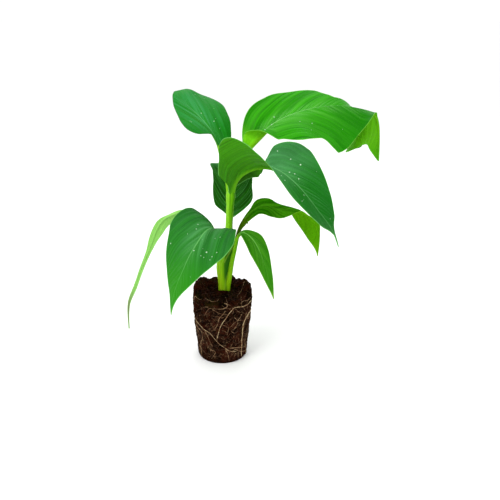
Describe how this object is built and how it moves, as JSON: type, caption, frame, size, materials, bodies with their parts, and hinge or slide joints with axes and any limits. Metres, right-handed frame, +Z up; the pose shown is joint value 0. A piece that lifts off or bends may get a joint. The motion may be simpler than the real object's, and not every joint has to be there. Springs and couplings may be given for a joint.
{
  "type": "banana sapling",
  "caption": "Young banana plant standing on its bare root ball, with a slim stem and broad arching leaves on long stalks.",
  "frame": {"origin": "centre of the flat underside of the root ball", "axes": "+Z up along the stem, +X towards the tip of the large arching leaves, +Y towards the back"},
  "size_m": [0.2795, 0.1539, 0.2656],
  "materials": {
    "soil": "matte, dark moist coir with pale roots",
    "stem": "smooth, slightly waxy yellow-green",
    "leaf": "satin deep green with parallel veins",
    "pale_leaf": "matte pale green, wilting"
  },
  "bodies": {
    "root": {"root_ball": "soil", "main_stem": "stem", "side_stem": "stem", "upper_right_petiole": "stem", "upper_left_petiole": "stem", "rear_petiole": "stem", "middle_right_petiole": "stem", "lower_right_petiole": "stem", "lower_left_petiole": "stem", "far_left_petiole": "stem", "arched_inner_blade": "leaf", "arched_outer_blade": "leaf", "upper_right_inner_blade": "leaf", "upper_right_outer_blade": "leaf", "upper_left_blade": "leaf", "rear_inner_blade": "leaf", "rear_outer_blade": "leaf", "middle_right_inner_blade": "leaf", "middle_right_outer_blade": "leaf", "lower_right_blade": "leaf", "lower_left_blade": "leaf", "far_left_blade": "pale_leaf"}
  },
  "joints": []
}
